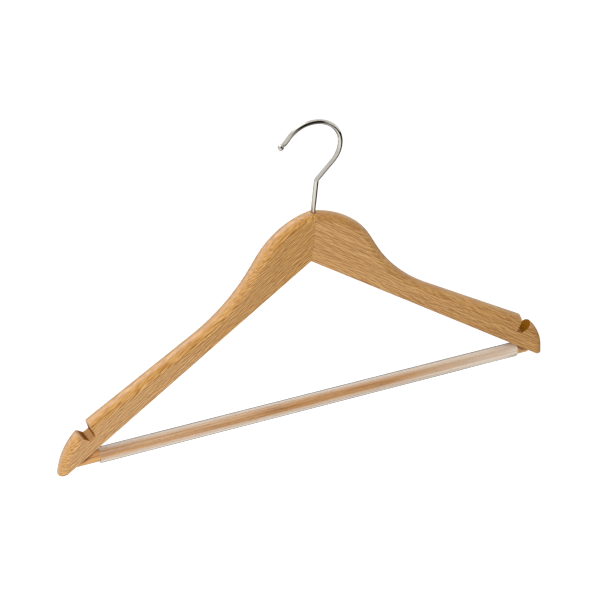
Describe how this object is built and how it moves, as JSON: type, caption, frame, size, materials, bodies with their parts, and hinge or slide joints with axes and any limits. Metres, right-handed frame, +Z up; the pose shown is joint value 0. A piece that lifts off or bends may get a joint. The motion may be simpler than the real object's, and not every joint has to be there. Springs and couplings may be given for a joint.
{
  "type": "trouser hanger",
  "caption": "Wooden coat and trouser hanger with forward-swept shoulders, strap notches, a clear ribbed sleeve on its trouser bar and a swivel metal hook.",
  "frame": {"origin": "on the hook's swivel axis, where the inside of the hook's loop crosses it, which is where a wardrobe rail carries the hanger", "axes": "+X along the hanger's width towards its right arm as seen from the front, +Y from the front to the back, so the shoulders sweep towards -Y, and +Z up along the swivel axis"},
  "size_m": [0.4458, 0.0551, 0.2594],
  "materials": {
    "straight_grained_beech": "satin clear lacquer over straight-grained beech with short dark flecks",
    "figured_beech": "satin clear lacquer over flat-sawn beech",
    "turned_beech": "smooth, lightly lacquered dowel",
    "clear_vinyl": "soft clear vinyl tube, glossy, with fine ribs along it",
    "chrome": "polished chrome plating on steel wire",
    "zinc": "plain zinc-plated steel"
  },
  "bodies": {
    "hook": {"hook": "chrome"},
    "wooden_frame": {"left_arm": "straight_grained_beech", "right_arm": "figured_beech", "trouser_bar": "turned_beech", "bar_sleeve": "clear_vinyl", "hook_washer": "zinc"}
  },
  "joints": [
    {"name": "hook_swivel", "type": "hinge", "parent": "hook", "child": "wooden_frame", "pos_m": [0, 0, -0.08021], "axis": [0, 0, 1], "continuous": true}
  ]
}
